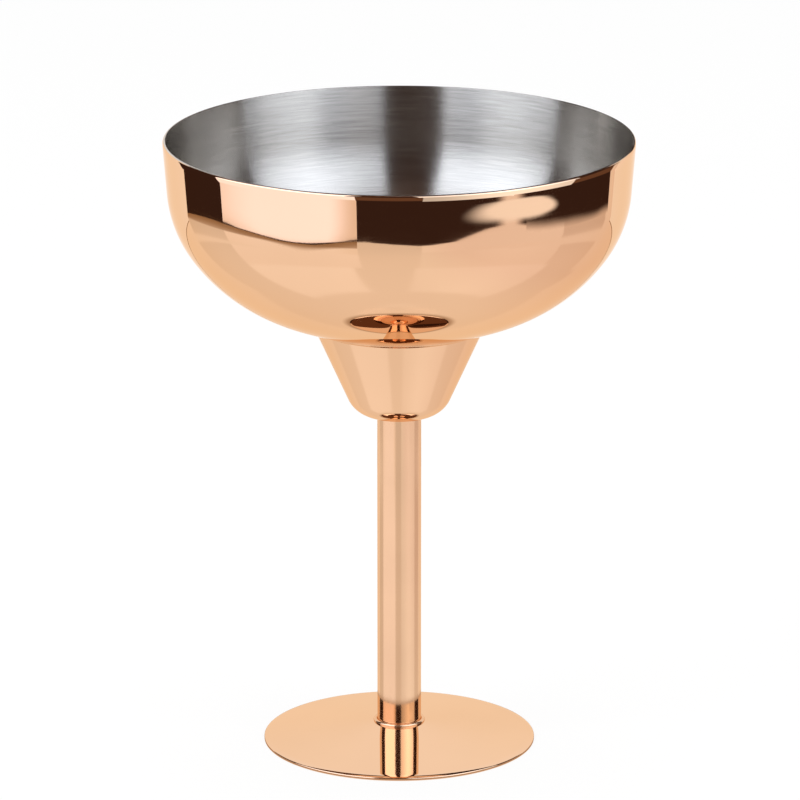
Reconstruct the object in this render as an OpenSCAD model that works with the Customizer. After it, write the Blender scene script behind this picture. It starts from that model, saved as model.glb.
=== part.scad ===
// Margarita glass: a wide basin over a small lower cup, on a tube stem and a domed disc foot.
// The sheet-metal pieces are turned about +Z and stack up from the foot, which stands on z = 0.
// The bowl is steel inside and copper outside; the stem and the foot are copper all over.

/* [Basin] */
// Outside diameter across the lip
rim_diameter = 120; // [100:1:140]
// Lean of the straight wall under the lip, in degrees from vertical
wall_lean = 4.5; // [0:0.5:8]
// Height of that straight wall
wall_height = 13.5; // [8:0.5:20]
// Outside radius of the curve below the straight wall
shoulder_radius = 31; // [26:0.5:36]
// Angle below horizontal that this curve faces at its lower end
shoulder_turn = 35.5; // [28:0.5:42]
// Outside radius of the wider curve that follows it
belly_radius = 45; // [38:0.5:52]
// Angle below horizontal that the wider curve faces at its lower end
belly_turn = 68; // [60:0.5:72]

/* [Bowl sheet] */
// Thickness of the steel lining of the basin and the cup
lining_wall = 0.6; // [0.4:0.05:1]
// Thickness of the copper layer outside the lining
copper_wall = 0.2; // [0.1:0.05:0.4]

/* [Lower cup] */
// Height from the cup's underside up to the neck
cup_height = 24; // [20:0.5:28]
// Lean of the cup's side from vertical, in degrees
cup_lean = 24.5; // [18:0.5:28]
// Outside radius of the corner between the cup's side and its underside
cup_corner_radius = 7.4; // [5:0.1:10]
// Flat rim left on the cup's underside around the head bead
cup_seat_margin = 0.15; // [0.05:0.05:1]

/* [Stem] */
// Outside diameter of the tube
stem_diameter = 11.3; // [9:0.1:14]
// Wall of the tube
stem_wall = 0.8; // [0.5:0.1:1.2]
// Length of the tube, from the foot to the cup
stem_length = 82.8; // [60:0.2:100]

/* [Foot] */
// Diameter of the disc
foot_diameter = 70; // [60:1:85]
// Thickness of the disc's sheet
foot_sheet = 1; // [0.8:0.1:1.5]
// Radius of the disc's domed top
foot_crown_radius = 168; // [140:1:220]
// Width of the flat ring that the foot stands on
foot_land = 0.8; // [0.5:0.1:1.5]
// Height of the pressed-up boss that centres the tube
boss_height = 3; // [2:0.5:6]
// Gap around the boss inside the tube
boss_clearance = 0.05; // [0.02:0.01:0.2]

/* [Weld beads] */
// Reach of the neck bead along the basin and along the cup
neck_bead_leg = 0.9; // [0.6:0.1:1.2]
// Radius of the neck bead's hollow face
neck_bead_hollow = 2.6; // [2.6:0.1:5]
// Reach of the head bead along the cup and down the tube
head_bead_leg = 0.6; // [0.4:0.05:0.8]
// Radius of the head bead's hollow face
head_bead_hollow = 1; // [1:0.1:3]
// Radius of the round ring bead where the tube meets the foot
ring_bead_radius = 0.55; // [0.4:0.05:0.8]
// Depth of the ring bead's round that is cut off by its seat
ring_bead_sink = 0.05; // [0.02:0.01:0.2]
// Depth of the ring bead's round that is cut off by the tube
ring_bead_overlap = 0.1; // [0.05:0.01:0.3]
// Flat seat on the foot outside the ring bead
ring_seat_margin = 0.2; // [0.1:0.05:1]

/* [Hidden] */
$fn = 200;
COPPER = [0.93, 0.71, 0.54];
WELD_COPPER = [0.86, 0.62, 0.45];
STEEL = [0.74, 0.74, 0.75];
// How far a cutting shape runs past what it cuts
overrun = 1;
// Straight steps along each curve of the bowl's outline
arc_steps = 12;

// A direction in the section plane, given by its angle below horizontal
function facing(turn) = [cos(turn), -sin(turn)];
// The direction up a side that leans outwards
function up_side(lean) = [sin(lean), cos(lean)];
function reverse(list) = [for (i = [len(list) - 1 : -1 : 0]) list[i]];
function arc(centre, radius, from_turn, to_turn) =
    [for (i = [0 : arc_steps]) centre + radius * facing(from_turn + (to_turn - from_turn) * i / arc_steps)];

// Foot: the dome's centre lies below the ground, on the axis
foot_r = foot_diameter / 2;
stem_r = stem_diameter / 2;
stem_bore_r = stem_r - stem_wall;
ring_bead_c = [stem_r + ring_bead_radius - ring_bead_overlap, ring_bead_radius - ring_bead_sink];
seat_r = ring_bead_c.x + ring_bead_radius + ring_seat_margin;
land_r = foot_r - foot_land;
crown_inside_r = foot_crown_radius - foot_sheet;
crown_z = -sqrt(pow(crown_inside_r, 2) - pow(land_r, 2));
seat_z = crown_z + sqrt(pow(foot_crown_radius, 2) - pow(seat_r, 2));
boss_r = stem_bore_r - boss_clearance;

// The bowl's outline is drawn as [radius, height above the cup's underside]
bowl_z = seat_z + stem_length;
bowl_wall = copper_wall + lining_wall;

// Lower cup: a flat underside, a round corner and a leaning side up to the neck
cup_floor_r = stem_r + head_bead_leg + cup_seat_margin;
cup_corner_c = [cup_floor_r, cup_corner_radius];
cup_side_foot = cup_corner_c + cup_corner_radius * facing(cup_lean);
neck = [cup_side_foot.x + (cup_height - cup_side_foot.y) * tan(cup_lean), cup_height];

// Basin: each curve starts where the last one ends, and the floor's centre is on the axis
wall_foot_r = rim_diameter / 2 - wall_height * tan(wall_lean);
shoulder_r = wall_foot_r + shoulder_radius * (cos(shoulder_turn) - cos(wall_lean));
belly_r = shoulder_r + belly_radius * (cos(belly_turn) - cos(shoulder_turn));
floor_radius = belly_r / cos(belly_turn);
floor_c = [0, cup_height + sqrt(pow(floor_radius, 2) - pow(neck.x, 2))];
belly_c = floor_c + (floor_radius - belly_radius) * facing(belly_turn);
shoulder_c = belly_c + (belly_radius - shoulder_radius) * facing(shoulder_turn);
wall_foot = shoulder_c + shoulder_radius * facing(wall_lean);

// Lip: a full round across both layers of the sheet
lip_radius = bowl_wall / 2;
lip_rise = wall_height / cos(wall_lean) - lip_radius;
lip_c = wall_foot + lip_rise * up_side(wall_lean) - lip_radius * facing(wall_lean);

// Neck bead: its ends on the basin's floor and on the cup's side
neck_turn = acos(neck.x / floor_radius);
bead_turn = neck_turn - neck_bead_leg / floor_radius * 180 / PI;
bead_on_basin = floor_c + floor_radius * facing(bead_turn);
bead_on_cup = neck - neck_bead_leg * up_side(cup_lean);

// Where the basin's floor meets the cup's side, with both moved in by an inset
function neck_point(inset) =
    let (low = cup_side_foot - inset * facing(cup_lean) - floor_c,
         along = low * up_side(cup_lean),
         reach = -along - sqrt(pow(along, 2) - low * low + pow(floor_radius - inset, 2)))
    floor_c + low + reach * up_side(cup_lean);

// The lip's round, from one inset to another
function lip_turn(inset) = acos(1 - inset / lip_radius);
function lip_line(from_inset, to_inset) =
    [for (i = [0 : arc_steps])
        let (turn = lip_turn(from_inset) + (lip_turn(to_inset) - lip_turn(from_inset)) * i / arc_steps)
        lip_c + lip_radius * (cos(turn) * facing(wall_lean) + sin(turn) * up_side(wall_lean))];

// The basin's outline below the lip, and the cup's from its middle, both ending at the neck
function basin_line(inset) = concat(
    arc(shoulder_c, shoulder_radius - inset, wall_lean, shoulder_turn),
    arc(belly_c, belly_radius - inset, shoulder_turn, belly_turn),
    arc(floor_c, floor_radius - inset, belly_turn, bead_turn),
    [neck_point(inset)]);
function cup_line(inset) = concat(
    [[0, inset]],
    arc(cup_corner_c, cup_corner_radius - inset, 90, cup_lean),
    [neck_point(inset)]);

// The hollow face of a bead between two points, bowed towards its corner
function hollow_line(a, b, corner, hollow) =
    let (half = norm(b - a) / 2,
         middle = (a + b) / 2,
         inward = (corner - middle) / norm(corner - middle),
         centre = middle - sqrt(pow(hollow, 2) - pow(half, 2)) * inward,
         along = (b - a) / norm(b - a),
         spread = asin(half / hollow))
    [for (i = [0 : arc_steps])
        let (turn = spread * (2 * i / arc_steps - 1))
        centre + hollow * (cos(turn) * inward + sin(turn) * along)];

// A section turned about the axis, with its zero height at the cup's underside
module bowl_turned(points) {
    translate([0, 0, bowl_z]) rotate_extrude() polygon(points);
}

module basin_layer(outer_inset, inner_inset) {
    bowl_turned(concat(lip_line(inner_inset, outer_inset), basin_line(outer_inset),
                       reverse(basin_line(inner_inset))));
}

module cup_layer(outer_inset, inner_inset) {
    bowl_turned(concat(cup_line(outer_inset), reverse(cup_line(inner_inset))));
}

module basin_lining() {
    color(STEEL) basin_layer(copper_wall, bowl_wall);
}

module basin_copper() {
    color(COPPER) basin_layer(0, copper_wall);
}

module cup_lining() {
    color(STEEL) cup_layer(copper_wall, bowl_wall);
}

module cup_copper() {
    color(COPPER) cup_layer(0, copper_wall);
}

// Dressed weld in the corner under the basin, where the cup hangs from it
module neck_bead() {
    color(WELD_COPPER)
        bowl_turned(concat([neck], hollow_line(bead_on_basin, bead_on_cup, neck, neck_bead_hollow)));
}

module stem_tube() {
    color(COPPER) translate([0, 0, seat_z]) difference() {
        cylinder(r = stem_r, h = stem_length);
        translate([0, 0, -overrun]) cylinder(r = stem_bore_r, h = stem_length + overrun * 2);
    }
}

// Thin braze in the corner where the tube meets the cup
module head_bead() {
    corner = [stem_r, 0];
    on_cup = corner + [head_bead_leg, 0];
    on_tube = corner - [0, head_bead_leg];
    color(WELD_COPPER)
        bowl_turned(concat([corner], hollow_line(on_tube, on_cup, corner, head_bead_hollow)));
}

// Round bead around the tube where it stands on the foot, filled down into the corner
module ring_bead() {
    seat_turn = asin(1 - ring_bead_sink / ring_bead_radius);
    tube_turn = acos(1 - ring_bead_overlap / ring_bead_radius) - 180;
    color(WELD_COPPER) translate([0, 0, seat_z]) rotate_extrude()
        polygon(concat([[stem_r, 0]], arc(ring_bead_c, ring_bead_radius, seat_turn, tube_turn)));
}

// Everything under the foot's upper face, or under its lower face when inset by the sheet
module foot_fill(inset) {
    intersection() {
        translate([0, crown_z]) circle(r = foot_crown_radius - inset);
        translate([0, -overrun]) square([foot_r + inset, seat_z - inset + overrun]);
    }
    translate([0, -overrun]) square([boss_r - inset, seat_z + boss_height - inset + overrun]);
}

// Pressed sheet: a shallow dome with a flat seat and a hollow boss in the middle
module foot() {
    color(COPPER) rotate_extrude() difference() {
        foot_fill(0);
        foot_fill(foot_sheet);
        translate([0, -overrun]) square([foot_r + overrun, overrun]);
    }
}

basin_lining();
basin_copper();
cup_lining();
cup_copper();
neck_bead();
stem_tube();
head_bead();
ring_bead();
foot();
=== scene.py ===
"""Looks of a metal margarita glass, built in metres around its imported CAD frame."""

import math

import bmesh
import bpy
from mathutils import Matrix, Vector


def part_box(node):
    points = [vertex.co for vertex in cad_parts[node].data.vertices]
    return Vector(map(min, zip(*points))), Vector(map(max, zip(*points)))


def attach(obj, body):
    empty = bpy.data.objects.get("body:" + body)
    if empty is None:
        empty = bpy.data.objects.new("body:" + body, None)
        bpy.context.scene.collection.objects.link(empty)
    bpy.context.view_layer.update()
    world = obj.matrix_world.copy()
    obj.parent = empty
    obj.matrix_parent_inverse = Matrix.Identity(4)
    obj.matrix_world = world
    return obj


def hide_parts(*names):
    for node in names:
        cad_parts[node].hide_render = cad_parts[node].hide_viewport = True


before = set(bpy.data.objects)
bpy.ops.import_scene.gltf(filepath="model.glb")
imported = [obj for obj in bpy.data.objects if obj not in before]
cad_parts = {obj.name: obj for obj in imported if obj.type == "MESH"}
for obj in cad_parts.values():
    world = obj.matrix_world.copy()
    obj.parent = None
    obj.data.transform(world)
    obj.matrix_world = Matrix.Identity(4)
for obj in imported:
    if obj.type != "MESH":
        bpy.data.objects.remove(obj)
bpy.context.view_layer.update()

MM = 0.001

# Driving dimensions of the outlines, as in the part's source
RIM_RADIUS = 60 * MM
WALL_LEAN = math.radians(4.5)
WALL_HEIGHT = 13.5 * MM
SHOULDER_RADIUS = 31 * MM
SHOULDER_TURN = math.radians(35.5)
BELLY_RADIUS = 45 * MM
BELLY_TURN = math.radians(68)
COPPER_WALL = 0.2 * MM
BOWL_WALL = 0.8 * MM
CUP_HEIGHT = 24 * MM
CUP_LEAN = math.radians(24.5)
CUP_CORNER_RADIUS = 7.4 * MM
CUP_SEAT_MARGIN = 0.15 * MM
STEM_WALL = 0.8 * MM
FOOT_SHEET = 1 * MM
FOOT_CROWN_RADIUS = 168 * MM
FOOT_LAND = 0.8 * MM
BOSS_CLEARANCE = 0.05 * MM
HEAD_BEAD_LEG = 0.6 * MM
HEAD_BEAD_HOLLOW = 1 * MM
RING_BEAD_RADIUS = 0.55 * MM
RING_BEAD_SINK = 0.05 * MM
RING_BEAD_OVERLAP = 0.1 * MM

# Small forms that only the looks have, or that differ from the part's source
LIP_EASE_RADIUS = 6 * MM
LIP_EASE_TURN = math.radians(-5.5)
LIP_OUT_ROUND = 0.5 * MM
LIP_IN_ROUND = 0.15 * MM
LIP_LAYER_TURN = math.radians(-50)
NECK_BEAD_LEG = 0.65 * MM
NECK_BEAD_BULGE = 1.2 * MM
FOOT_EDGE_ROUND = 0.3 * MM
FOOT_EDGE_HEIGHT = 0.5 * MM
FOOT_DROOP_RADIUS = 5 * MM
FOOT_DROOP = math.radians(25)
FOOT_SLOPE = math.radians(7.1)
FOOT_CONE = 0.109
FOOT_FILLET = 0.3 * MM
FOOT_FILLET_RUN = 2.5 * MM
FOOT_BEAD_OVERLAP = 0.15 * MM
FOOT_UNDER_ROUND = 0.12 * MM

# Fineness of the turned meshes
SEGMENTS = 240
ARC_STEPS = 32
SHORT_ARC_STEPS = 12
LINE_STEPS = 8
FOOT_STEPS = 40
SHARP_ANGLE = math.radians(40)
ON_AXIS = 0.001 * MM

# Places that the frame gives
stem_low, stem_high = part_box("stem_tube")
_, foot_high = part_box("foot")
_, lining_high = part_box("basin_lining")
STEM_RADIUS = stem_high.x
SEAT_Z = stem_low.z
CUP_Z = stem_high.z
FOOT_RADIUS = foot_high.x
BOSS_Z = foot_high.z
LIP_Z = lining_high.z


def facing(turn):
    """The direction in the section plane that points this far below the horizontal."""
    return Vector((math.cos(turn), -math.sin(turn)))


def up_side(lean):
    """The direction up a side that leans outwards."""
    return Vector((math.sin(lean), math.cos(lean)))


def arc(centre, radius, start, end, steps=ARC_STEPS):
    """Points on an arc from one turn to another."""
    turns = [start + (end - start) * i / steps for i in range(steps + 1)]
    return [centre + radius * facing(turn) for turn in turns]


def line(start, end, steps=LINE_STEPS):
    """Points on a straight line."""
    return [start.lerp(end, i / steps) for i in range(steps + 1)]


# Cup outline: a flat underside, a round corner and a leaning side up to the neck
CUP_FLOOR_R = STEM_RADIUS + HEAD_BEAD_LEG + CUP_SEAT_MARGIN
CUP_CORNER_C = Vector((CUP_FLOOR_R, CUP_Z + CUP_CORNER_RADIUS))
CUP_SIDE_FOOT = CUP_CORNER_C + CUP_CORNER_RADIUS * facing(CUP_LEAN)
cup_side_rise = CUP_Z + CUP_HEIGHT - CUP_SIDE_FOOT.y
NECK = CUP_SIDE_FOOT + cup_side_rise / math.cos(CUP_LEAN) * up_side(CUP_LEAN)

# Basin outline: each curve starts where the last one ends
wall_foot_r = RIM_RADIUS - WALL_HEIGHT * math.tan(WALL_LEAN)
shoulder_r = wall_foot_r + SHOULDER_RADIUS * (math.cos(SHOULDER_TURN) - math.cos(WALL_LEAN))
belly_r = shoulder_r + BELLY_RADIUS * (math.cos(BELLY_TURN) - math.cos(SHOULDER_TURN))
FLOOR_RADIUS = belly_r / math.cos(BELLY_TURN)
FLOOR_C = Vector((0, NECK.y + math.sqrt(FLOOR_RADIUS ** 2 - NECK.x ** 2)))
BELLY_C = FLOOR_C + (FLOOR_RADIUS - BELLY_RADIUS) * facing(BELLY_TURN)
SHOULDER_C = BELLY_C + (BELLY_RADIUS - SHOULDER_RADIUS) * facing(SHOULDER_TURN)
WALL_FOOT = SHOULDER_C + SHOULDER_RADIUS * facing(WALL_LEAN)

# Lip: the wall eases inwards, then turns over in a small round
ease_rise = LIP_EASE_RADIUS * (math.sin(WALL_LEAN) - math.sin(LIP_EASE_TURN))
round_rise = LIP_OUT_ROUND * (1 + math.sin(LIP_EASE_TURN))
EASE_RUN = (LIP_Z - WALL_FOOT.y - ease_rise - round_rise) / math.cos(WALL_LEAN)
EASE_FOOT = WALL_FOOT + EASE_RUN * up_side(WALL_LEAN)
EASE_C = EASE_FOOT - LIP_EASE_RADIUS * facing(WALL_LEAN)
LIP_C = EASE_C + (LIP_EASE_RADIUS - LIP_OUT_ROUND) * facing(LIP_EASE_TURN)


def neck_point(inset):
    """Where the basin's floor meets the cup's side, with both moved in by an inset."""
    low = CUP_SIDE_FOOT - inset * facing(CUP_LEAN) - FLOOR_C
    along = low.dot(up_side(CUP_LEAN))
    reach = -along - math.sqrt(along ** 2 - low.length_squared + (FLOOR_RADIUS - inset) ** 2)
    return FLOOR_C + low + reach * up_side(CUP_LEAN)


def lip_outside():
    """The lip's copper side, from where the copper layer ends down to the straight wall."""
    top = arc(LIP_C, LIP_OUT_ROUND, LIP_LAYER_TURN, LIP_EASE_TURN, SHORT_ARC_STEPS)
    ease = arc(EASE_C, LIP_EASE_RADIUS, LIP_EASE_TURN, WALL_LEAN, SHORT_ARC_STEPS)
    return top[:-1] + ease


def lip_inside():
    """The lip's steel side, from the inner wall over the top to where the copper layer ends."""
    inner_foot = WALL_FOOT - BOWL_WALL * facing(WALL_LEAN)
    run = (LIP_Z - LIP_IN_ROUND - inner_foot.y) / math.cos(WALL_LEAN)
    centre = inner_foot + run * up_side(WALL_LEAN) + Vector((LIP_IN_ROUND, 0))
    corner = arc(centre, LIP_IN_ROUND, math.pi, math.pi * 1.5, SHORT_ARC_STEPS)
    top = arc(LIP_C, LIP_OUT_ROUND, -math.pi / 2, LIP_LAYER_TURN, SHORT_ARC_STEPS)
    return corner + top


def basin_line(inset, end_turn, wall_top):
    """The basin's outline at an inset, from a point on the wall down to a turn of its floor."""
    wall = line(wall_top, WALL_FOOT - inset * facing(WALL_LEAN))
    shoulder = arc(SHOULDER_C, SHOULDER_RADIUS - inset, WALL_LEAN, SHOULDER_TURN)
    belly = arc(BELLY_C, BELLY_RADIUS - inset, SHOULDER_TURN, BELLY_TURN)
    floor = arc(FLOOR_C, FLOOR_RADIUS - inset, BELLY_TURN, end_turn, SHORT_ARC_STEPS)
    return wall[:-1] + shoulder[:-1] + belly[:-1] + floor


def cup_line(inset, end):
    """The cup's outline at an inset, from the axis up to a point on its side."""
    middle = Vector((0, CUP_Z + inset))
    corner = arc(CUP_CORNER_C, CUP_CORNER_RADIUS - inset, math.pi / 2, CUP_LEAN)
    return line(middle, corner[0]) + corner[1:-1] + line(corner[-1], end)


def floor_turn(point):
    """The turn of a point on the basin's floor, seen from the floor's centre."""
    return math.asin((FLOOR_C.y - point.y) / (FLOOR_C - point).length)


def neck_round():
    """The rounded inner edge of the neck: its centre and its halves from the basin and the cup."""
    centre = neck_point(COPPER_WALL)
    radius = BOWL_WALL - COPPER_WALL
    start = floor_turn(centre) - math.pi
    end = CUP_LEAN - math.pi
    middle = (start + end) / 2
    from_basin = arc(centre, radius, start, middle, SHORT_ARC_STEPS)
    from_cup = arc(centre, radius, end, middle, SHORT_ARC_STEPS)
    return centre, from_basin, from_cup


def bowed_line(start, end, towards, radius):
    """The face of a bead between two points, bowed towards a third one."""
    half = (end - start).length / 2
    middle = (start + end) / 2
    bow = (towards - middle).normalized()
    along = (end - start).normalized()
    centre = middle - math.sqrt(radius ** 2 - half ** 2) * bow
    spread = math.asin(half / radius)
    turns = [spread * (2 * i / SHORT_ARC_STEPS - 1) for i in range(SHORT_ARC_STEPS + 1)]
    return [centre + radius * (math.cos(turn) * bow + math.sin(turn) * along) for turn in turns]


def lathe(name, section):
    """A closed section of (radius, height) points turned about the Z axis."""
    mesh = bpy.data.meshes.new(name)
    form = bmesh.new()
    uv = form.loops.layers.uv.new("OFBake")
    rings = [turned_ring(form, point) for point in section]
    lengths = [(b - a).length for a, b in zip(section, section[1:] + section[:1])]
    total = sum(lengths)
    run = 0
    for k, length in enumerate(lengths):
        band = (run / total, (run + length) / total)
        join_rings(form, uv, rings[k], rings[(k + 1) % len(rings)], band)
        run += length
    bmesh.ops.recalc_face_normals(form, faces=form.faces)
    form.to_mesh(mesh)
    form.free()
    mesh.set_sharp_from_angle(angle=SHARP_ANGLE)
    piece = bpy.data.objects.new(name, mesh)
    bpy.context.scene.collection.objects.link(piece)
    return piece


def turned_ring(form, point):
    """The vertices of one section point, which is a single one on the axis."""
    if point.x < ON_AXIS:
        return [form.verts.new((0, 0, point.y))]
    angles = [2 * math.pi * i / SEGMENTS for i in range(SEGMENTS)]
    return [form.verts.new((point.x * math.cos(a), point.x * math.sin(a), point.y)) for a in angles]


def join_rings(form, uv, ring, after, band):
    """Smooth faces between two rings, with their share of the unwrapped map."""
    if len(ring) == 1 and len(after) == 1:
        return
    for i in range(SEGMENTS):
        j = (i + 1) % SEGMENTS
        corners = [(ring[i % len(ring)], i, 0)]
        if len(ring) > 1:
            corners.append((ring[j], i + 1, 0))
        if len(after) > 1:
            corners.append((after[j], i + 1, 1))
        corners.append((after[i % len(after)], i, 1))
        face = form.faces.new([corner[0] for corner in corners])
        face.smooth = True
        for loop, corner in zip(face.loops, corners):
            loop[uv].uv = (corner[1] / SEGMENTS, band[corner[2]])


def fit(piece, node, material):
    """Puts a piece in the place of its CAD node and gives it its finish."""
    piece.data.materials.append(material)
    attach(piece, "root")
    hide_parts(node)


# Materials

# Colours of the metals, and the tints of their grazing reflections
COPPER = (0.86, 0.60, 0.42)
WELD_COPPER = (0.82, 0.54, 0.36)
STEEL = (0.60, 0.575, 0.54)
COPPER_EDGE = (0.95, 0.79, 0.62)
STEEL_EDGE = (0.95, 0.94, 0.93)

# The part of a noise's values that counts
NOISE_RANGE = (0.3, 0.7)

# Mirror copper: finenesses of its noises, shades, roughness and depths of its waves
MIRROR_LINES = (40, 4000)
MIRROR_PATCHES = 25
MIRROR_SHADES = (0.975, 1.02)
MIRROR_ROUGHNESS = (0.012, 0.028)
MIRROR_WAVES = 30
MIRROR_WAVE_DEPTH = 0.012 * MM
MIRROR_RIPPLES = 150
MIRROR_RIPPLE_DEPTH = 0.002 * MM

# Drawn copper, whose reflections spread across its upright lines
DRAWN_LINES = (12, 1500)
DRAWN_PATCHES = 60
DRAWN_SHADES = (0.96, 1.02)
DRAWN_ROUGHNESS = (0.08, 0.13)
DRAWN_SPREAD = 0.85
DRAWN_SPREAD_TURN = 0

# Weld metal
WELD_GRAINS = 500
WELD_SHADES = (0.93, 1.04)
WELD_ROUGHNESS = (0.14, 0.2)

# Brushed steel, whose reflections spread across the lines that run round the axis
BRUSH_LINES = (60, 5000)
BRUSH_DEPTH = 0.012 * MM
BRUSH_STREAKS = (110, 3200)
BRUSH_SHADES = (0.9, 1.1)
BRUSH_ROUGHNESS = (0.235, 0.26)
BRUSH_SPREAD = 1
BRUSH_SPREAD_TURN = 0.25


def tinted(colour, gain):
    """A colour made lighter or darker, with its alpha."""
    return (*[min(1.0, channel * gain) for channel in colour], 1.0)


def add_node(tree, kind, **values):
    """A node with constants on its sockets."""
    node = tree.nodes.new(kind)
    for name, value in values.items():
        node.inputs[name].default_value = value
    return node


def metal(name, edge):
    """A metal material with its tree and its shader, and the tint of its grazing reflections."""
    material = bpy.data.materials.new(name)
    material.use_nodes = True
    tree = material.node_tree
    shader = tree.nodes["Principled BSDF"]
    shader.inputs["Metallic"].default_value = 1
    shader.inputs["Specular Tint"].default_value = (*edge, 1)
    return material, tree, shader


def object_place(tree):
    """The place on an object that is being shaded."""
    return tree.nodes.new("ShaderNodeTexCoord").outputs["Object"]


def place_parts(tree, place):
    """A node whose sockets X, Y and Z hold the parts of a place."""
    parts = tree.nodes.new("ShaderNodeSeparateXYZ")
    tree.links.new(place, parts.inputs[0])
    return parts


def with_constant(tree, operation, value, constant):
    """The result of a sum on a value and a constant."""
    node = tree.nodes.new("ShaderNodeMath")
    node.operation = operation
    node.inputs[1].default_value = constant
    tree.links.new(value, node.inputs[0])
    return node.outputs[0]


def larger(tree, first, second):
    """The larger one of two values."""
    node = tree.nodes.new("ShaderNodeMath")
    node.operation = "MAXIMUM"
    tree.links.new(first, node.inputs[0])
    tree.links.new(second, node.inputs[1])
    return node.outputs[0]


def stretched(tree, place, factors):
    """A place whose three parts are each multiplied by a factor."""
    node = tree.nodes.new("ShaderNodeVectorMath")
    node.operation = "MULTIPLY"
    node.inputs[1].default_value = factors
    tree.links.new(place, node.inputs[0])
    return node.outputs[0]


def noise(tree, place, scale, detail=3):
    """Even noise."""
    texture = add_node(tree, "ShaderNodeTexNoise", Scale=scale, Detail=detail)
    tree.links.new(place, texture.inputs["Vector"])
    return texture.outputs[0]


def turned_lines(tree, place, along, across):
    """Noise drawn out round the axis: coarse along its lines and fine across them."""
    parts = place_parts(tree, place)
    flat = tree.nodes.new("ShaderNodeCombineXYZ")
    tree.links.new(parts.outputs["X"], flat.inputs["X"])
    tree.links.new(parts.outputs["Y"], flat.inputs["Y"])
    radius = tree.nodes.new("ShaderNodeVectorMath")
    radius.operation = "LENGTH"
    tree.links.new(flat.outputs[0], radius.inputs[0])
    reach = with_constant(tree, "MULTIPLY", radius.outputs["Value"], across)
    texture = add_node(tree, "ShaderNodeTexNoise", Scale=1, Detail=2)
    texture.noise_dimensions = "4D"
    tree.links.new(stretched(tree, place, (along, along, across)), texture.inputs["Vector"])
    tree.links.new(reach, texture.inputs["W"])
    return texture.outputs[0]


def upright_lines(tree, place, along, across):
    """Noise drawn out along the axis: coarse along its lines and fine across them."""
    return noise(tree, stretched(tree, place, (across, across, along)), 1, 2)


def mapped(tree, value, before, after):
    """A node that stretches a value from one range to another."""
    node = tree.nodes.new("ShaderNodeMapRange")
    node.inputs["From Min"].default_value = before[0]
    node.inputs["From Max"].default_value = before[1]
    node.inputs["To Min"].default_value = after[0]
    node.inputs["To Max"].default_value = after[1]
    tree.links.new(value, node.inputs["Value"])
    return node


def two_tone(tree, value, colour, shades):
    """A colour that runs between two shades of itself."""
    ramp = tree.nodes.new("ShaderNodeValToRGB")
    for element, position, shade in zip(ramp.color_ramp.elements, NOISE_RANGE, shades):
        element.position = position
        element.color = tinted(colour, shade)
    tree.links.new(value, ramp.inputs["Fac"])
    return ramp.outputs["Color"]


def coloured(tree, shader, value, colour, shades):
    """Gives a shader shades of a colour that follow a noise."""
    tree.links.new(two_tone(tree, value, colour, shades), shader.inputs["Base Color"])


def roughened(tree, shader, value, roughness):
    """Gives a shader a range of roughness that follows a noise."""
    rough = mapped(tree, value, NOISE_RANGE, roughness)
    tree.links.new(rough.outputs[0], shader.inputs["Roughness"])


def bumped(tree, shader, height, distance, normal=None):
    """Gives a shader a bump, on top of another one if there is one."""
    node = add_node(tree, "ShaderNodeBump", Distance=distance)
    tree.links.new(height, node.inputs["Height"])
    if normal is not None:
        tree.links.new(normal, node.inputs["Normal"])
    tree.links.new(node.outputs[0], shader.inputs["Normal"])
    return node.outputs[0]


def spread_round_axis(tree, shader, amount, rotation):
    """Draws reflections out round the axis, or along it at a quarter turn."""
    shader.inputs["Anisotropic"].default_value = amount
    shader.inputs["Anisotropic Rotation"].default_value = rotation
    tangent = tree.nodes.new("ShaderNodeTangent")
    tangent.direction_type = "RADIAL"
    tangent.axis = "Z"
    tree.links.new(tangent.outputs[0], shader.inputs["Tangent"])


def mirror_copper(name):
    """Copper polished on a lathe: a clear mirror with faint turning lines and soft waves."""
    material, tree, shader = metal(name, COPPER_EDGE)
    place = object_place(tree)
    coloured(tree, shader, noise(tree, place, MIRROR_PATCHES), COPPER, MIRROR_SHADES)
    roughened(tree, shader, turned_lines(tree, place, *MIRROR_LINES), MIRROR_ROUGHNESS)
    waves = noise(tree, place, MIRROR_WAVES, 1)
    broad = bumped(tree, shader, waves, MIRROR_WAVE_DEPTH)
    ripples = noise(tree, place, MIRROR_RIPPLES, 1)
    bumped(tree, shader, ripples, MIRROR_RIPPLE_DEPTH, broad)
    return material


def drawn_copper(name):
    """Copper tube polished along its length, with faint upright lines."""
    material, tree, shader = metal(name, COPPER_EDGE)
    place = object_place(tree)
    coloured(tree, shader, noise(tree, place, DRAWN_PATCHES), COPPER, DRAWN_SHADES)
    roughened(tree, shader, upright_lines(tree, place, *DRAWN_LINES), DRAWN_ROUGHNESS)
    spread_round_axis(tree, shader, DRAWN_SPREAD, DRAWN_SPREAD_TURN)
    return material


def bead_copper(name):
    """Dressed weld metal: a little darker and softer than the sheet."""
    material, tree, shader = metal(name, COPPER_EDGE)
    grains = noise(tree, object_place(tree), WELD_GRAINS)
    coloured(tree, shader, grains, WELD_COPPER, WELD_SHADES)
    roughened(tree, shader, grains, WELD_ROUGHNESS)
    return material


def brushed_steel(name):
    """Stainless steel brushed round the axis."""
    material, tree, shader = metal(name, STEEL_EDGE)
    place = object_place(tree)
    streaks = turned_lines(tree, place, *BRUSH_STREAKS)
    coloured(tree, shader, streaks, STEEL, BRUSH_SHADES)
    roughened(tree, shader, streaks, BRUSH_ROUGHNESS)
    spread_round_axis(tree, shader, BRUSH_SPREAD, BRUSH_SPREAD_TURN)
    bumped(tree, shader, turned_lines(tree, place, *BRUSH_LINES), BRUSH_DEPTH)
    return material


# Pieces

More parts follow.
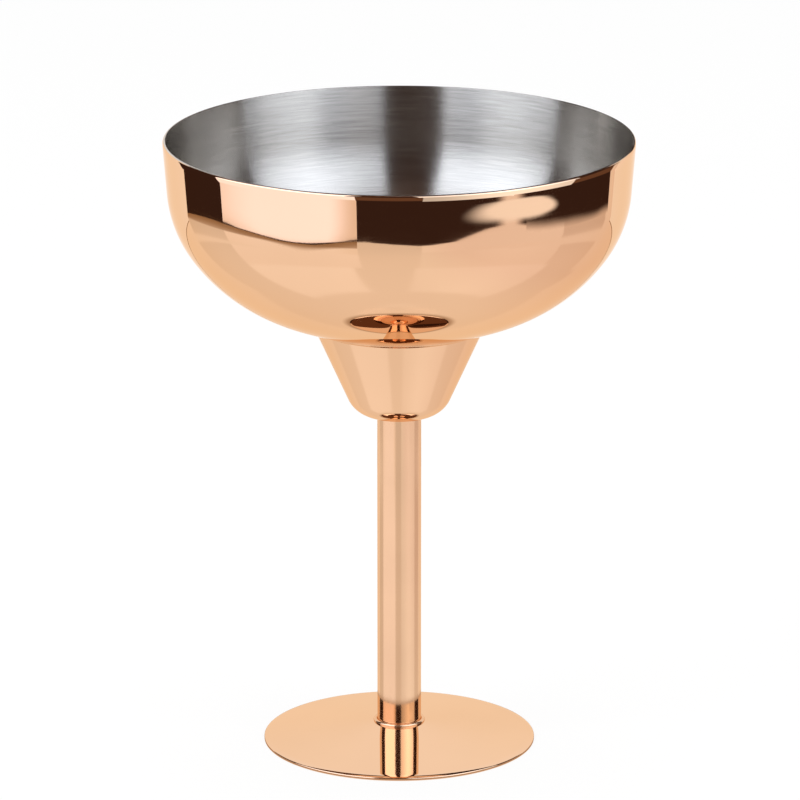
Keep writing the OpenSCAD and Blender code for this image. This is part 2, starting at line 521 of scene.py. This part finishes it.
bowl_copper = mirror_copper("bowl_copper")
foot_copper = mirror_copper("foot_copper")
stem_copper = drawn_copper("stem_copper")
weld_copper = bead_copper("weld_copper")
steel_lining = brushed_steel("steel_lining")


def basin_skin():
    """The basin's copper outside, from the lip to the neck."""
    lip = lip_outside()
    outside = basin_line(0, floor_turn(NECK), lip[-1])
    inside = basin_line(COPPER_WALL, floor_turn(neck_point(COPPER_WALL)), lip[0])
    section = lip[:-1] + outside + inside[:0:-1]
    fit(lathe("basin_skin", section), "basin_copper", bowl_copper)


def basin_inside():
    """The basin's steel lining, with the lip's top and a rounded edge at the neck."""
    centre, edge, _ = neck_round()
    lip = lip_inside()
    outside = basin_line(COPPER_WALL, floor_turn(centre), lip[-1])
    inside = basin_line(BOWL_WALL, floor_turn(centre), lip[0])
    section = lip[:-1] + outside + edge[::-1] + inside[-2:0:-1]
    fit(lathe("basin_inside", section), "basin_lining", steel_lining)


def cup_skin():
    """The lower cup's copper outside."""
    section = cup_line(0, NECK) + cup_line(COPPER_WALL, neck_point(COPPER_WALL))[::-1]
    fit(lathe("cup_skin", section), "cup_copper", bowl_copper)


def cup_inside():
    """The lower cup's steel lining."""
    centre, _, edge = neck_round()
    section = cup_line(COPPER_WALL, centre) + edge[::-1] + cup_line(BOWL_WALL, edge[0])[-2::-1]
    fit(lathe("cup_inside", section), "cup_lining", steel_lining)


def neck_weld():
    """The dressed bead in the corner between basin and cup."""
    bead_turn = floor_turn(NECK) - NECK_BEAD_LEG / FLOOR_RADIUS
    on_basin = FLOOR_C + FLOOR_RADIUS * facing(bead_turn)
    on_cup = NECK - NECK_BEAD_LEG * up_side(CUP_LEAN)
    outside = on_basin + on_cup - NECK
    section = [NECK] + bowed_line(on_basin, on_cup, outside, NECK_BEAD_BULGE)
    fit(lathe("neck_weld", section), "neck_bead", weld_copper)


def stem():
    """The plain tube between foot and cup."""
    bore = STEM_RADIUS - STEM_WALL
    outside = line(Vector((STEM_RADIUS, SEAT_Z)), Vector((STEM_RADIUS, CUP_Z)))
    inside = [Vector((bore, CUP_Z)), Vector((bore, SEAT_Z))]
    fit(lathe("stem", outside + inside), "stem_tube", stem_copper)


def head_braze():
    """The thin bead where the tube meets the cup."""
    corner = Vector((STEM_RADIUS, CUP_Z))
    on_cup = corner + Vector((HEAD_BEAD_LEG, 0))
    on_tube = corner - Vector((0, HEAD_BEAD_LEG))
    section = [corner] + bowed_line(on_tube, on_cup, corner, HEAD_BEAD_HOLLOW)
    fit(lathe("head_braze", section), "head_bead", weld_copper)


def foot_ring():
    """The round bead where the tube stands on the foot."""
    corner = Vector((STEM_RADIUS, SEAT_Z))
    reach = RING_BEAD_RADIUS - RING_BEAD_OVERLAP
    rise = RING_BEAD_RADIUS - RING_BEAD_SINK
    seat_turn = math.asin(rise / RING_BEAD_RADIUS)
    tube_turn = math.acos(reach / RING_BEAD_RADIUS) - math.pi
    centre = corner + Vector((reach, rise))
    section = [corner] + arc(centre, RING_BEAD_RADIUS, seat_turn, tube_turn)
    fit(lathe("foot_ring", section), "ring_bead", weld_copper)


def foot_top(start_r, edge):
    """The disc's top from under the bead to its edge: a dome on a cone, with a fillet at the bead."""
    bend = (math.tan(FOOT_SLOPE) - FOOT_CONE) / edge.x
    points = []
    for i in range(FOOT_STEPS):
        radius = start_r + (edge.x - start_r) * (i / FOOT_STEPS) ** 2
        rise = FOOT_CONE * (edge.x - radius) + bend / 2 * (edge.x ** 2 - radius ** 2)
        fillet = FOOT_FILLET * math.exp((start_r - radius) / FOOT_FILLET_RUN)
        points.append(Vector((radius, edge.y + rise + fillet)))
    return points


def foot_disc():
    """The pressed disc: a shallow dome with a boss inside the tube and round edges."""
    land_r = FOOT_RADIUS - FOOT_LAND
    under_radius = FOOT_CROWN_RADIUS - FOOT_SHEET
    crown_c = Vector((0, -math.sqrt(under_radius ** 2 - land_r ** 2)))
    start_r = STEM_RADIUS - RING_BEAD_OVERLAP + 2 * RING_BEAD_RADIUS - FOOT_BEAD_OVERLAP
    boss_r = STEM_RADIUS - STEM_WALL - BOSS_CLEARANCE
    hollow_r = boss_r - FOOT_SHEET
    round_c = Vector((FOOT_RADIUS - FOOT_EDGE_ROUND, FOOT_EDGE_HEIGHT))
    round_turn = FOOT_DROOP - math.pi / 2
    edge = arc(round_c, FOOT_EDGE_ROUND, round_turn, 0, SHORT_ARC_STEPS)
    droop_c = round_c - (FOOT_DROOP_RADIUS - FOOT_EDGE_ROUND) * facing(round_turn)
    droop = arc(droop_c, FOOT_DROOP_RADIUS, FOOT_SLOPE - math.pi / 2, round_turn, SHORT_ARC_STEPS)
    low_c = Vector((FOOT_RADIUS - FOOT_UNDER_ROUND, FOOT_UNDER_ROUND))
    low_edge = arc(low_c, FOOT_UNDER_ROUND, 0, math.pi / 2, SHORT_ARC_STEPS)
    land_turn = math.acos(land_r / under_radius)
    hollow_turn = math.acos(hollow_r / under_radius)
    under = arc(crown_c, under_radius, -land_turn, -hollow_turn)
    boss = [
        Vector((0, BOSS_Z - FOOT_SHEET)),
        Vector((0, BOSS_Z)),
        Vector((boss_r, BOSS_Z)),
        Vector((boss_r, SEAT_Z)),
        Vector((start_r, SEAT_Z)),
    ]
    hollow_top = Vector((hollow_r, BOSS_Z - FOOT_SHEET))
    section = boss + foot_top(start_r, droop[0]) + droop[:-1] + edge + low_edge + under + [hollow_top]
    fit(lathe("foot_disc", section), "foot", foot_copper)


basin_skin()
basin_inside()
cup_skin()
cup_inside()
neck_weld()
stem()
head_braze()
foot_ring()
foot_disc()

# Studio

# The camera's place and lens follow the photo's perspective
CAMERA_PLACE = (0.0002, -1.5709, 0.5375)
CAMERA_PITCH = math.radians(15.87)
CAMERA_LENS = 287.14
CAMERA_SENSOR = 36

# Lamps, which reflections don't show: name, place, size and power
LAMPS = [
    ("lamp_left", (-1.2, -0.8, 1.2), 1.0, 14),
    ("lamp_right", (1.2, -0.8, 1.2), 1.0, 10),
    ("lamp_top", (0, 0.2, 1.6), 1.2, 12),
]
FILL_STRENGTH = 0.5

# Colours of the floor and of the cards
WHITE = (1, 1, 1)
FLOOR_GREY = (0.9, 0.9, 0.9)
TABLE = (1.0, 0.875, 0.75)
# Painted shade: the table's colour at its darker right side
TABLE_RIGHT_SHADED = (0.93, 0.755, 0.65)
DARK = (0.039, 0.0186, 0.0131)
BROWN = (0.14, 0.07, 0.04)
SHADE = (0.36, 0.22, 0.12)
WINDOW = (1.36, 1.29, 1.39)
WINDOW_EDGE = (0.94, 0.77, 0.655)
PANEL = (1.31, 1.33, 1.34)
UPPER_PANEL = (2.04, 2.19, 2.44)
BACKDROP = (1.05, 0.995, 0.95)
SOFT_LIGHT = (1.1, 1.03, 0.97)

# The floor: its shadow's share of the camera's white, its gloss in reflections, and the painted shade
# that darkens it to the right in reflections
FLOOR_HALF = 4
SHADOW_SHARE = 0.1
GLOSS_ROUGHNESS = 0.14
GLOSS_IOR = 1.65
MOST_GLOSS = 0.7
TABLE_SHADE_SPAN = (0.05, 0.16)

# The table's far edge: bearings from the camera to the right, in degrees, and distances
TABLE_EDGE = [
    (-160, 0.52), (-125, 0.482), (-93, 0.444), (-67, 0.413), (-47, 0.3945), (-20, 0.401), (0, 0.395),
    (15, 0.3945), (48, 0.419), (70, 0.4285), (92, 0.4463), (108, 0.464), (122, 0.486), (160, 0.53),
]

# Points along a card, how far flat strips lie above the table, and ways for a share to run
CARD_STEPS = 48
LIFT = 0.0002
RISING = (0, 1)
FALLING = (1, 0)
OUTWARDS = [(0, 1)] * (CARD_STEPS + 1)
DOWNWARDS = [(1, 0)] * (CARD_STEPS + 1)
SIDEWAYS = [(i / CARD_STEPS, i / CARD_STEPS) for i in range(CARD_STEPS + 1)]

# Bearings of the low cards' sides
LEFT_SIDES = (-125, -93)
WINDOW_SIDES = (-93, -19.5)
FRONT_SIDES = (-19.5, 10.5)
GROUND_FRONT_SIDES = (10.5, 45)
GROUND_FRONT_END = (45, 52)
GROUND_RIGHT_START = (55, 62)
GROUND_RIGHT_SIDES = (62, 121)
GROUND_BEYOND_SIDES = (87, 121)

# Heights of the low cards and widths of the strips at the table's edge
LOW_HEIGHTS = (0, 0.06)
GROUND_BEYOND_HEIGHTS = (0, 0.12)
GROUND_WIDTH = 0.2
SOFT_WIDTH = 0.012
SHADE_WIDTH = 0.03

# The low window: how far its sides fade, its share at the left, and its shares up from its foot
WINDOW_FADES = (25, 14)
WINDOW_LEFT_SHARE = 0.5
WINDOW_RISES = (0, 0.0015, 0.003, 0.006)
WINDOW_FOOT_SHARES = (0.6, 0.75, 0.9, 1, 1)

# The dark seam under the low window and the shade before it, which swell at a bearing
SEAM = 0.0009
SEAM_SWELL = 0.0013
SHADE_SWELL = 0.06
SWELL_BEARING = -46
SWELL_SPREAD = 13

# A low soft oval light on the right: its place, its half sizes and its rise per degree
GLOW_RING = 0.394
GLOW_BEARING = 54
GLOW_HEIGHT = 0.0169
GLOW_HALF = (27, 0.0048)
GLOW_RISE = 0.00021

# How far to the right of its middle it is strongest, where it fades, and its fineness
GLOW_CORE = 14
GLOW_FADE = (1, 0.6)
GLOW_RINGS = 16
GLOW_SPOKES = 48

# Bearings where cards meet on the ring, in its middle row and in the rows above
CARD_RING = 0.39
LEFT_END = -124.3
WINDOW_LEFT = -92
WINDOW_RIGHT = -19.5
UPPER_WINDOW_RIGHT = -24
FRONT_RIGHT = 10.5
UPPER_FRONT_RIGHT = 8.5
PANEL_FOLD = 54
PANEL_RIGHT = 87
UPPER_PANEL_RIGHT = 90
RIGHT_END = 118.5
UPPER_RIGHT_END = 125
HIGH_END = 140

# Heights of the rows of cards on the ring
PANEL_NEAR_LOW = 0.025
PANEL_FAR_LOW = 0.035
MIDDLE_LOW = 0.047
UPPER_LOW = 0.17
TOP_LOW = 0.44
BROWN_LOW = 0.75
TOP_HIGH = 4.0

# How the right panels' light runs from their first side to their last
PANEL_RISE = (0.5, 1)
UPPER_PANEL_RISE = (0.6, 1)
PANEL_FALL = (1, 0.75)

# The shade round the foot
FOOT_SHADE_WIDTH = 0.007
FOOT_SHADE_MOST = 0.75

# The backdrop, the dark card above it and the dark line at the table's back edge
BACK_EDGE = 0.25
BACK_SIDES = (-0.36, 0.36)
BACKDROP_HEIGHTS = (0, 0.35)
BACK_DARK_HEIGHTS = (0.35, 3.0)
BACK_SEAM = 0.005

# A dark flag close behind the bowl, above the view that the foot has of the backdrop
FLAG_BEHIND = 0.1
FLAG_SIDES = (-0.05, 0.12)
FLAG_HEIGHTS = (0.167, 0.8)


def stage_material(name):
    """An empty material with its tree and its surface socket."""
    material = bpy.data.materials.new(name)
    material.use_nodes = True
    tree = material.node_tree
    tree.nodes.clear()
    out = tree.nodes.new("ShaderNodeOutputMaterial")
    return material, tree, out.inputs["Surface"]


def light(tree, colour):
    """A plain light of a colour."""
    return add_node(tree, "ShaderNodeEmission", Color=(*colour, 1), Strength=1).outputs[0]


def mixed(tree, share, first, second):
    """A shader that turns from a first one to a second one with a share."""
    mix = tree.nodes.new("ShaderNodeMixShader")
    tree.links.new(share, mix.inputs["Fac"])
    tree.links.new(first, mix.inputs[1])
    tree.links.new(second, mix.inputs[2])
    return mix.outputs[0]


def card_share(tree, before, after):
    """A smooth step over the share that a card's points carry."""
    share = tree.nodes.new("ShaderNodeAttribute")
    share.attribute_name = "share"
    step = mapped(tree, share.outputs["Fac"], before, after)
    step.interpolation_type = "SMOOTHSTEP"
    return step.outputs[0]


def glow(name, colour):
    """A card of one colour."""
    material, tree, surface = stage_material(name)
    tree.links.new(light(tree, colour), surface)
    return material


def faded(name, colour, before, most=1):
    """A card that turns from clear to its colour over a range of its share."""
    material, tree, surface = stage_material(name)
    clear = tree.nodes.new("ShaderNodeBsdfTransparent").outputs[0]
    share = card_share(tree, before, (0, most))
    tree.links.new(mixed(tree, share, clear, light(tree, colour)), surface)
    return material


def blended(name, first, second):
    """A card that turns from one colour to another with its share."""
    material, tree, surface = stage_material(name)
    share = card_share(tree, RISING, (0, 1))
    tree.links.new(mixed(tree, share, light(tree, first), light(tree, second)), surface)
    return material


def graded(name, colour, strengths):
    """A card whose light changes with its share."""
    material, tree, surface = stage_material(name)
    lamp = add_node(tree, "ShaderNodeEmission", Color=(*colour, 1))
    tree.links.new(card_share(tree, RISING, strengths), lamp.inputs["Strength"])
    tree.links.new(lamp.outputs[0], surface)
    return material


def stage_mesh(name, points, faces, material):
    """A mesh of the studio, which isn't part of the glass."""
    mesh = bpy.data.meshes.new(name)
    mesh.from_pydata(points, [], faces)
    mesh.materials.append(material)
    item = bpy.data.objects.new(name, mesh)
    bpy.context.scene.collection.objects.link(item)
    return item


def only_in_reflections(item):
    """Hides a card from the camera and keeps it from lighting the floor."""
    item.visible_camera = False
    item.visible_diffuse = False
    item.visible_shadow = False


def shared(item, shares):
    """Gives each point of a card its share for the card's material."""
    values = item.data.attributes.new("share", "FLOAT", "POINT")
    values.data.foreach_set("value", shares)
    only_in_reflections(item)


def strip(name, rows, material, shares):
    """Faces between rows of points, with a share for each point."""
    count = len(rows[0])
    points = [point for row in rows for point in row]
    starts = [i * count + k for i in range(len(rows) - 1) for k in range(count - 1)]
    faces = [(start, start + count, start + count + 1, start + 1) for start in starts]
    values = [share for row in shares for share in row]
    shared(stage_mesh(name, points, faces, material), values)


def edge_distance(bearing):
    """The table edge's distance at a bearing, on a smooth curve through the given points."""
    for (before, last), (a, near), (b, far), (after, ahead) in zip(
        TABLE_EDGE, TABLE_EDGE[1:], TABLE_EDGE[2:], TABLE_EDGE[3:]
    ):
        if a <= bearing <= b:
            break
    run = (bearing - a) / (b - a)
    rise = far - near
    slope_a = (far - last) / (b - before) * (b - a)
    slope_b = (ahead - near) / (after - a) * (b - a)
    bend = 3 * rise - 2 * slope_a - slope_b
    twist = slope_a + slope_b - 2 * rise
    return near + run * (slope_a + run * (bend + run * twist))


def around(bearing, distance):
    """The place at a bearing and a distance from the axis."""
    angle = math.radians(bearing)
    return distance * math.sin(angle), -distance * math.cos(angle)


def bearings(start, end):
    """The bearings of a card's points."""
    return [start + (end - start) * i / CARD_STEPS for i in range(CARD_STEPS + 1)]


def edge_card(name, sides, heights, material, beyond=0):
    """An upright card along or beyond the table's edge; its share runs from its top to its foot."""
    rows = []
    for bearing in bearings(*sides):
        place = around(bearing, edge_distance(bearing) + beyond)
        rows.append([(*place, height) for height in heights])
    strip(name, rows, material, DOWNWARDS)


def ring_card(name, sides, heights, material):
    """An upright card on the ring; its share runs from its first bearing to its last."""
    rows = [[(*around(bearing, CARD_RING), height) for height in heights] for bearing in bearings(*sides)]
    strip(name, rows, material, SIDEWAYS)


def edge_strip(name, sides, near, far, material, shares=OUTWARDS):
    """A flat strip along the table's edge."""
    rows = []
    for bearing in bearings(*sides):
        edge = edge_distance(bearing)
        rows.append([(*around(bearing, edge + near), LIFT), (*around(bearing, edge + far), LIFT)])
    strip(name, rows, material, shares)


def flat_card(name, corners, material):
    """A card with four corners."""
    only_in_reflections(stage_mesh(name, corners, [(0, 1, 2, 3)], material))


def back_card(name, sides, back, heights, material):
    """An upright card across the view, behind the glass."""
    left, right = sides
    low, high = heights
    corners = [(left, back, low), (right, back, low), (right, back, high), (left, back, high)]
    flat_card(name, corners, material)


def shown_rays(tree):
    """1 for rays that show the ground as it is: from the camera, in metal and through glass."""
    path = tree.nodes.new("ShaderNodeLightPath")
    seen = larger(tree, path.outputs["Is Camera Ray"], path.outputs["Is Glossy Ray"])
    return path, larger(tree, seen, path.outputs["Is Transmission Ray"])


def shaded_table_colour(tree):
    """The table's colour, with painted shade that darkens it to the right."""
    parts = place_parts(tree, object_place(tree))
    ramp = tree.nodes.new("ShaderNodeValToRGB")
    ramp.color_ramp.elements[0].color = (*TABLE, 1)
    ramp.color_ramp.elements[1].color = (*TABLE_RIGHT_SHADED, 1)
    # Painted shade: the table turns darker towards the right along X
    share = mapped(tree, parts.outputs["X"], TABLE_SHADE_SPAN, (0, 1))
    tree.links.new(share.outputs[0], ramp.inputs["Fac"])
    return ramp.outputs["Color"]


def table_shader(tree):
    """The floor in reflections: a warm table with a limited gloss."""
    table = add_node(tree, "ShaderNodeEmission", Strength=1)
    tree.links.new(shaded_table_colour(tree), table.inputs["Color"])
    gloss = add_node(tree, "ShaderNodeBsdfGlossy", Color=(*WHITE, 1), Roughness=GLOSS_ROUGHNESS)
    fresnel = add_node(tree, "ShaderNodeFresnel", IOR=GLOSS_IOR)
    share = with_constant(tree, "MINIMUM", fresnel.outputs[0], MOST_GLOSS)
    return mixed(tree, share, table.outputs[0], gloss.outputs[0])


def floor_material():
    """A floor that is white with a soft shadow to the camera, and a warm table in reflections."""
    material, tree, surface = stage_material("pale_floor")
    path, shown = shown_rays(tree)
    matt = add_node(tree, "ShaderNodeBsdfDiffuse", Color=(*FLOOR_GREY, 1))
    share = with_constant(tree, "MULTIPLY", shown, 1 - SHADOW_SHARE)
    ground = mixed(tree, share, matt.outputs[0], light(tree, WHITE))
    both = mixed(tree, path.outputs["Is Glossy Ray"], ground, table_shader(tree))
    tree.links.new(both, surface)
    return material


def make_camera():
    """The camera, which looks a little down at the glass."""
    data = bpy.data.cameras.new("camera")
    data.lens = CAMERA_LENS
    data.sensor_width = CAMERA_SENSOR
    camera = bpy.data.objects.new("camera", data)
    camera.location = CAMERA_PLACE
    camera.rotation_euler = (math.pi / 2 - CAMERA_PITCH, 0, 0)
    bpy.context.scene.collection.objects.link(camera)
    bpy.context.scene.camera = camera


def make_floor():
    """The floor that the glass stands on."""
    half = FLOOR_HALF
    corners = [(-half, -half, 0), (half, -half, 0), (half, half, 0), (-half, half, 0)]
    stage_mesh("floor", corners, [(0, 1, 2, 3)], floor_material())


def make_world():
    """A white surround that lights the scene less than it shows."""
    world = bpy.data.worlds.new("studio")
    bpy.context.scene.world = world
    world.use_nodes = True
    tree = world.node_tree
    tree.nodes.clear()
    _, shown = shown_rays(tree)
    fill = add_node(tree, "ShaderNodeBackground", Color=(*WHITE, 1), Strength=FILL_STRENGTH)
    white = add_node(tree, "ShaderNodeBackground", Color=(*WHITE, 1), Strength=1)
    out = tree.nodes.new("ShaderNodeOutputWorld")
    tree.links.new(mixed(tree, shown, fill.outputs[0], white.outputs[0]), out.inputs["Surface"])


def make_lamp(name, place, size, power):
    """A square lamp that points at the origin."""
    data = bpy.data.lights.new(name, "AREA")
    data.size = size
    data.energy = power
    lamp = bpy.data.objects.new(name, data)
    lamp.location = place
    lamp.rotation_euler = (-Vector(place)).to_track_quat("-Z", "Y").to_euler()
    lamp.visible_glossy = False
    bpy.context.scene.collection.objects.link(lamp)


def glow_point(aside, up):
    """A point of the oval light, so many degrees to the right of its middle and so far above it."""
    height = GLOW_HEIGHT + GLOW_RISE * aside + up
    return (*around(GLOW_BEARING + aside, GLOW_RING), height)


def glow_card(material):
    """The oval light, with each point's share of the way from its strongest point to its rim."""
    points = [glow_point(GLOW_CORE, 0)]
    shares = [0.0]
    for ring in range(1, GLOW_RINGS + 1):
        share = ring / GLOW_RINGS
        for spoke in range(GLOW_SPOKES):
            turn = 2 * math.pi * spoke / GLOW_SPOKES
            aside = GLOW_CORE * (1 - share) + GLOW_HALF[0] * share * math.cos(turn)
            points.append(glow_point(aside, GLOW_HALF[1] * share * math.sin(turn)))
            shares.append(share)
    faces = []
    for spoke in range(GLOW_SPOKES):
        after = (spoke + 1) % GLOW_SPOKES
        faces.append((0, 1 + spoke, 1 + after))
        for ring in range(GLOW_RINGS - 1):
            low = 1 + ring * GLOW_SPOKES
            high = low + GLOW_SPOKES
            faces.append((low + spoke, high + spoke, high + after, low + after))
    shared(stage_mesh("light_low", points, faces, material), shares)


def window_share(bearing):
    """The low window's light at a bearing: a little weaker at its left side, weakest at its right."""
    from_left = (bearing - WINDOW_SIDES[0]) / WINDOW_FADES[0]
    left = WINDOW_LEFT_SHARE + (1 - WINDOW_LEFT_SHARE) * from_left
    right = (WINDOW_SIDES[1] - bearing) / WINDOW_FADES[1]
    return min(1, left, right)


def low_window(dark, shade):
    """The low window on its dark seam and shade; its light falls off towards its sides and foot."""
    shade_rows = []
    seam_rows = []
    rows = []
    shares = []
    for bearing in bearings(*WINDOW_SIDES):
        edge = edge_distance(bearing)
        place = around(bearing, edge)
        swell = math.exp(-((bearing - SWELL_BEARING) / SWELL_SPREAD) ** 2)
        near = around(bearing, edge - SHADE_WIDTH - SHADE_SWELL * swell)
        foot = SEAM + SEAM_SWELL * swell
        heights = [foot + rise for rise in WINDOW_RISES] + [LOW_HEIGHTS[1]]
        shade_rows.append([(*near, LIFT), (*place, LIFT)])
        seam_rows.append([(*place, 0), (*place, foot)])
        rows.append([(*place, height) for height in heights])
        shares.append([window_share(bearing) * share for share in WINDOW_FOOT_SHARES])
    strip("window_shade", shade_rows, shade, OUTWARDS)
    strip("window_seam", seam_rows, dark, DOWNWARDS)
    strip("window_low", rows, blended("low_window", WINDOW_EDGE, WINDOW), shares)


def low_cards():
    """The cards at the table's edge and the dark ground beyond it."""
    dark = glow("dark_card", DARK)
    soft = faded("soft_ground", DARK, RISING)
    ending = faded("ending_ground", DARK, FALLING)
    shade = faded("edge_shade", SHADE, RISING)
    half_soft = SOFT_WIDTH / 2
    edge_card("flag_left_low", LEFT_SIDES, LOW_HEIGHTS, dark)
    low_window(dark, shade)
    edge_card("flag_front_low", FRONT_SIDES, LOW_HEIGHTS, dark)
    edge_strip("ground_front", GROUND_FRONT_SIDES, 0, GROUND_WIDTH, dark)
    edge_strip("ground_front_end", GROUND_FRONT_END, 0, GROUND_WIDTH, ending, SIDEWAYS)
    edge_strip("ground_right_start", GROUND_RIGHT_START, 0, GROUND_WIDTH, soft, SIDEWAYS)
    edge_strip("ground_right_soft", GROUND_RIGHT_SIDES, -half_soft, half_soft, soft)
    edge_strip("ground_right", GROUND_RIGHT_SIDES, half_soft, GROUND_WIDTH, dark)
    edge_card("ground_right_end", GROUND_BEYOND_SIDES, GROUND_BEYOND_HEIGHTS, dark, GROUND_WIDTH)
    edge_strip("shade_left", LEFT_SIDES, -SHADE_WIDTH, 0, shade)
    glow_card(faded("soft_light", SOFT_LIGHT, GLOW_FADE))


def middle_cards(brown):
    """The lower row of cards on the ring."""
    heights = (MIDDLE_LOW, UPPER_LOW)
    near_heights = (PANEL_NEAR_LOW, UPPER_LOW)
    far_heights = (PANEL_FAR_LOW, UPPER_LOW)
    rising = graded("rising_panel", PANEL, PANEL_RISE)
    falling = graded("falling_panel", PANEL, PANEL_FALL)
    ring_card("window_middle", (WINDOW_LEFT, WINDOW_RIGHT), heights, glow("window", WINDOW))
    ring_card("flag_front_middle", (WINDOW_RIGHT, FRONT_RIGHT), heights, brown)
    ring_card("panel_right_near", (FRONT_RIGHT, PANEL_FOLD), near_heights, rising)
    ring_card("panel_right_far", (PANEL_FOLD, PANEL_RIGHT), far_heights, falling)
    ring_card("flag_right", (PANEL_RIGHT, RIGHT_END), heights, brown)


def upper_cards(dark):
    """The row of cards above it, and the two dark flags at its sides."""
    heights = (UPPER_LOW, BROWN_LOW)
    window = glow("upper_window", UPPER_PANEL)
    rising = graded("upper_rising_panel", UPPER_PANEL, UPPER_PANEL_RISE)
    falling = graded("upper_falling_panel", UPPER_PANEL, PANEL_FALL)
    ring_card("flag_left", (LEFT_END, WINDOW_LEFT), (MIDDLE_LOW, TOP_LOW), dark)
    ring_card("window_upper", (WINDOW_LEFT, UPPER_WINDOW_RIGHT), heights, window)
    ring_card("flag_front_upper", (UPPER_WINDOW_RIGHT, UPPER_FRONT_RIGHT), heights, dark)
    ring_card("panel_right_near_upper", (UPPER_FRONT_RIGHT, PANEL_FOLD), heights, rising)
    ring_card("panel_right_far_upper", (PANEL_FOLD, UPPER_PANEL_RIGHT), heights, falling)
    ring_card("flag_right_upper", (UPPER_PANEL_RIGHT, UPPER_RIGHT_END), (UPPER_LOW, TOP_LOW), dark)


def high_cards(brown):
    """The brown flags over the side flags and over everything."""
    heights = (TOP_LOW, BROWN_LOW)
    ring_card("flag_left_high", (-HIGH_END, WINDOW_LEFT), heights, brown)
    ring_card("flag_right_high", (UPPER_PANEL_RIGHT, HIGH_END), heights, brown)
    ring_card("flag_top", (-HIGH_END, HIGH_END), (BROWN_LOW, TOP_HIGH), brown)


def ring_cards():
    """The cards that stand on the ring."""
    brown = glow("brown_flag", BROWN)
    middle_cards(brown)
    upper_cards(glow("dark_flag", DARK))
    high_cards(brown)


def back_cards():
    """The backdrop behind the glass, the dark line at the table's back edge and the dark flags."""
    left, right = BACK_SIDES
    near = BACK_EDGE - BACK_SEAM
    seam = [(left, near, LIFT), (right, near, LIFT), (right, BACK_EDGE, LIFT), (left, BACK_EDGE, LIFT)]
    back_card("backdrop", BACK_SIDES, BACK_EDGE, BACKDROP_HEIGHTS, glow("backdrop", BACKDROP))
    back_card("back_dark", BACK_SIDES, BACK_EDGE, BACK_DARK_HEIGHTS, glow("back_dark", BROWN))
    flat_card("table_back_edge", seam, glow("back_seam", SHADE))
    back_card("flag_behind", FLAG_SIDES, FLAG_BEHIND, FLAG_HEIGHTS, glow("flag_behind", DARK))


def foot_shade():
    """The soft shade on the table round the foot."""
    rows = []
    for bearing in bearings(0, 360):
        inner = around(bearing, FOOT_RADIUS)
        outer = around(bearing, FOOT_RADIUS + FOOT_SHADE_WIDTH)
        rows.append([(*inner, LIFT), (*outer, LIFT)])
    material = faded("foot_shade", SHADE, FALLING, FOOT_SHADE_MOST)
    strip("foot_shade", rows, material, OUTWARDS)


make_camera()
make_floor()
make_world()
low_cards()
ring_cards()
back_cards()
foot_shade()
for lamp_values in LAMPS:
    make_lamp(*lamp_values)
bpy.context.scene.view_settings.view_transform = "Standard"
